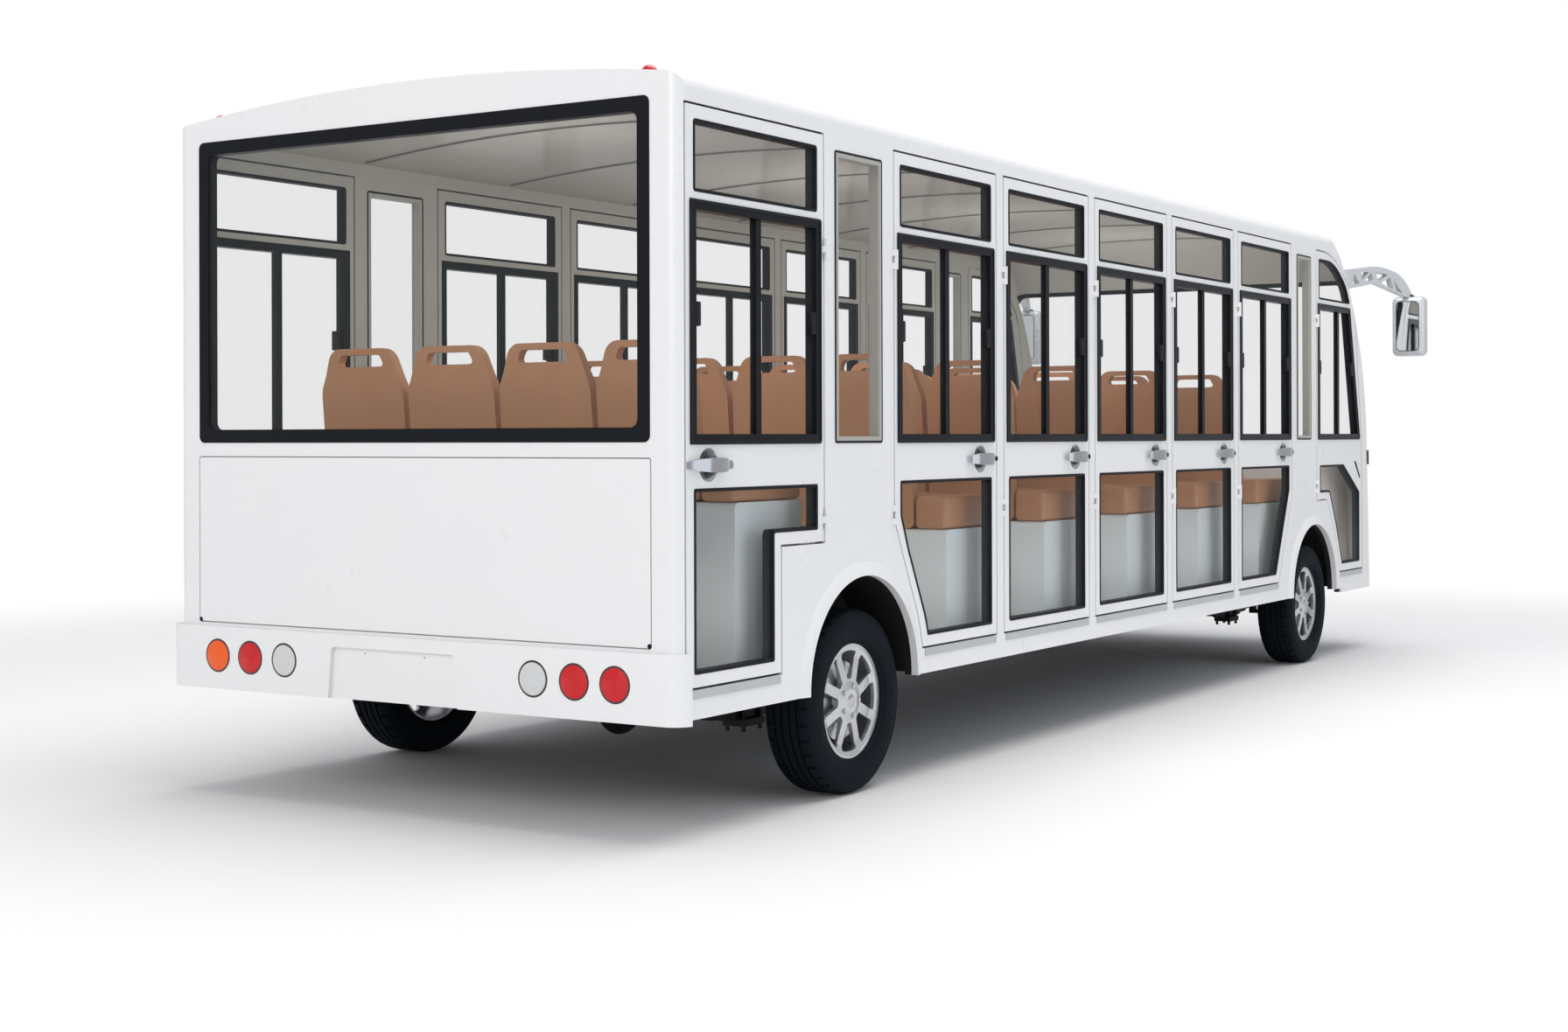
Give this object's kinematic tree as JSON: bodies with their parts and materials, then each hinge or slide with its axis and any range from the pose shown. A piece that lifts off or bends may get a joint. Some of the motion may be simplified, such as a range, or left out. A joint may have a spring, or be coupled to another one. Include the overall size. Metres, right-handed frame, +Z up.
{
  "type": "electric sightseeing bus",
  "caption": "Enclosed electric sightseeing bus with a swing door at each row of seats on both sides, bowed windscreen, wheel-arch flares and mirrors on openwork arms",
  "frame": {"origin": "Middle of the bounding box on the ground under the tyres", "axes": "X to the left-hand side of the bus, Y to its rear, Z up; the front faces -Y"},
  "size_m": [2.564, 7.094, 2.3049],
  "materials": {
    "white_paint": "gloss",
    "black_chassis": "matt",
    "black_trim": "satin",
    "glass": "clear",
    "lamp_red": "gloss",
    "mirror_silver": "gloss",
    "grey_tread": "satin",
    "cabin_grey": "matt",
    "seat_tan": "soft sheen",
    "seat_base": "satin",
    "battery_case": "matt",
    "tyre": "matt",
    "alloy": "machined",
    "steel": "satin",
    "axle_steel": "matt"
  },
  "bodies": {
    "bus_body": {"chassis_frame": "black_chassis", "floor_deck": "cabin_grey", "rear_quarters": "white_paint", "front_quarters": "white_paint", "skirts_and_posts": "white_paint", "roof": "white_paint", "front_mask": "white_paint", "rear_end": "white_paint", "rear_panels": "white_paint", "window_frames": "black_trim", "fixed_glass": "glass", "lamps": "lamp_red", "mirrors": "mirror_silver", "sill_treads": "grey_tread", "door_hinges": "white_paint", "axles_and_springs": "axle_steel", "battery_block": "battery_case", "dashboard": "black_trim", "seat_bases": "seat_base", "seats": "seat_tan"},
    "door_right_rear_body": {"door_right_rear": "white_paint", "door_right_rear_glass": "glass"},
    "door_right_1_body": {"door_right_1": "white_paint", "door_right_1_glass": "glass"},
    "door_right_2_body": {"door_right_2": "white_paint", "door_right_2_glass": "glass"},
    "door_right_3_body": {"door_right_3": "white_paint", "door_right_3_glass": "glass"},
    "door_right_4_body": {"door_right_4": "white_paint", "door_right_4_glass": "glass"},
    "door_right_5_body": {"door_right_5": "white_paint", "door_right_5_glass": "glass"},
    "door_right_front_body": {"door_right_front": "white_paint", "door_right_front_glass": "glass"},
    "door_left_rear_body": {"door_left_rear": "white_paint", "door_left_rear_glass": "glass"},
    "door_left_1_body": {"door_left_1": "white_paint", "door_left_1_glass": "glass"},
    "door_left_2_body": {"door_left_2": "white_paint", "door_left_2_glass": "glass"},
    "door_left_3_body": {"door_left_3": "white_paint", "door_left_3_glass": "glass"},
    "door_left_4_body": {"door_left_4": "white_paint", "door_left_4_glass": "glass"},
    "door_left_5_body": {"door_left_5": "white_paint", "door_left_5_glass": "glass"},
    "door_left_front_body": {"door_left_front": "white_paint", "door_left_front_glass": "glass"},
    "wheel_rear_right": {"tyre_rear_right": "tyre", "rim_rear_right": "alloy"},
    "steer_right": {"knuckle_right": "steel"},
    "wheel_front_right": {"tyre_front_right": "tyre", "rim_front_right": "alloy"},
    "wheel_rear_left": {"tyre_rear_left": "tyre", "rim_rear_left": "alloy"},
    "steer_left": {"knuckle_left": "steel"},
    "wheel_front_left": {"tyre_front_left": "tyre", "rim_front_left": "alloy"},
    "track_rod": {"tie_rod": "steel"},
    "helm": {"steering_wheel": "black_trim"}
  },
  "joints": [
    {"name": "door_right_rear_hinge", "type": "hinge", "parent": "bus_body", "child": "door_right_rear_body", "pos_m": [-1.044, 2.708, 0.92], "axis": [0, 0, 1], "range_deg": [0, 75]},
    {"name": "door_right_1_hinge", "type": "hinge", "parent": "bus_body", "child": "door_right_1_body", "pos_m": [-1.044, 2.246, 0.92], "axis": [0, 0, -1], "range_deg": [0, 75]},
    {"name": "door_right_2_hinge", "type": "hinge", "parent": "bus_body", "child": "door_right_2_body", "pos_m": [-1.044, 1.405, 0.92], "axis": [0, 0, -1], "range_deg": [0, 75]},
    {"name": "door_right_3_hinge", "type": "hinge", "parent": "bus_body", "child": "door_right_3_body", "pos_m": [-1.044, 0.564, 0.92], "axis": [0, 0, -1], "range_deg": [0, 75]},
    {"name": "door_right_4_hinge", "type": "hinge", "parent": "bus_body", "child": "door_right_4_body", "pos_m": [-1.044, -0.277, 0.92], "axis": [0, 0, -1], "range_deg": [0, 75]},
    {"name": "door_right_5_hinge", "type": "hinge", "parent": "bus_body", "child": "door_right_5_body", "pos_m": [-1.044, -1.118, 0.92], "axis": [0, 0, -1], "range_deg": [0, 75]},
    {"name": "door_right_front_hinge", "type": "hinge", "parent": "bus_body", "child": "door_right_front_body", "pos_m": [-1.044, -2.296, 0.92], "axis": [0, 0, -1], "range_deg": [0, 75]},
    {"name": "door_left_rear_hinge", "type": "hinge", "parent": "bus_body", "child": "door_left_rear_body", "pos_m": [1.044, 2.708, 0.92], "axis": [0, 0, -1], "range_deg": [0, 75]},
    {"name": "door_left_1_hinge", "type": "hinge", "parent": "bus_body", "child": "door_left_1_body", "pos_m": [1.044, 2.246, 0.92], "axis": [0, 0, 1], "range_deg": [0, 75]},
    {"name": "door_left_2_hinge", "type": "hinge", "parent": "bus_body", "child": "door_left_2_body", "pos_m": [1.044, 1.405, 0.92], "axis": [0, 0, 1], "range_deg": [0, 75]},
    {"name": "door_left_3_hinge", "type": "hinge", "parent": "bus_body", "child": "door_left_3_body", "pos_m": [1.044, 0.564, 0.92], "axis": [0, 0, 1], "range_deg": [0, 75]},
    {"name": "door_left_4_hinge", "type": "hinge", "parent": "bus_body", "child": "door_left_4_body", "pos_m": [1.044, -0.277, 0.92], "axis": [0, 0, 1], "range_deg": [0, 75]},
    {"name": "door_left_5_hinge", "type": "hinge", "parent": "bus_body", "child": "door_left_5_body", "pos_m": [1.044, -1.118, 0.92], "axis": [0, 0, 1], "range_deg": [0, 75]},
    {"name": "door_left_front_hinge", "type": "hinge", "parent": "bus_body", "child": "door_left_front_body", "pos_m": [1.044, -2.296, 0.92], "axis": [0, 0, 1], "range_deg": [0, 75]},
    {"name": "wheel_rear_right_spin", "type": "hinge", "parent": "bus_body", "child": "wheel_rear_right", "pos_m": [-0.9125, 2.4485, 0.3075], "axis": [-1, 0, 0], "continuous": true},
    {"name": "steer_right", "type": "hinge", "parent": "bus_body", "child": "steer_right", "pos_m": [-0.7825, -2.2575, 0.3075], "axis": [0, 0, 1], "range_deg": [-30, 30]},
    {"name": "wheel_front_right_spin", "type": "hinge", "parent": "steer_right", "child": "wheel_front_right", "pos_m": [-0.9125, -2.2575, 0.3075], "axis": [-1, 0, 0], "continuous": true},
    {"name": "wheel_rear_left_spin", "type": "hinge", "parent": "bus_body", "child": "wheel_rear_left", "pos_m": [0.9125, 2.4485, 0.3075], "axis": [-1, 0, 0], "continuous": true},
    {"name": "steer_left", "type": "hinge", "parent": "bus_body", "child": "steer_left", "pos_m": [0.7825, -2.2575, 0.3075], "axis": [0, 0, 1], "range_deg": [-30, 30]},
    {"name": "wheel_front_left_spin", "type": "hinge", "parent": "steer_left", "child": "wheel_front_left", "pos_m": [0.9125, -2.2575, 0.3075], "axis": [-1, 0, 0], "continuous": true},
    {"name": "track_rod_slide", "type": "slide", "parent": "bus_body", "child": "track_rod", "axis": [1, 0, 0], "range_m": [-0.0733, 0.0733]},
    {"name": "helm_turn", "type": "hinge", "parent": "bus_body", "child": "helm", "pos_m": [0.56, -2.4665, 1.17], "axis": [0, 0.788, 0.6157], "range_deg": [-450, 450]}
  ],
  "couplings": [
    {"joint": "steer_left", "follows": "steer_right", "ratio": 1},
    {"joint": "track_rod_slide", "follows": "steer_right", "m_per_rad": -0.14},
    {"joint": "helm_turn", "follows": "steer_right", "ratio": 15}
  ]
}
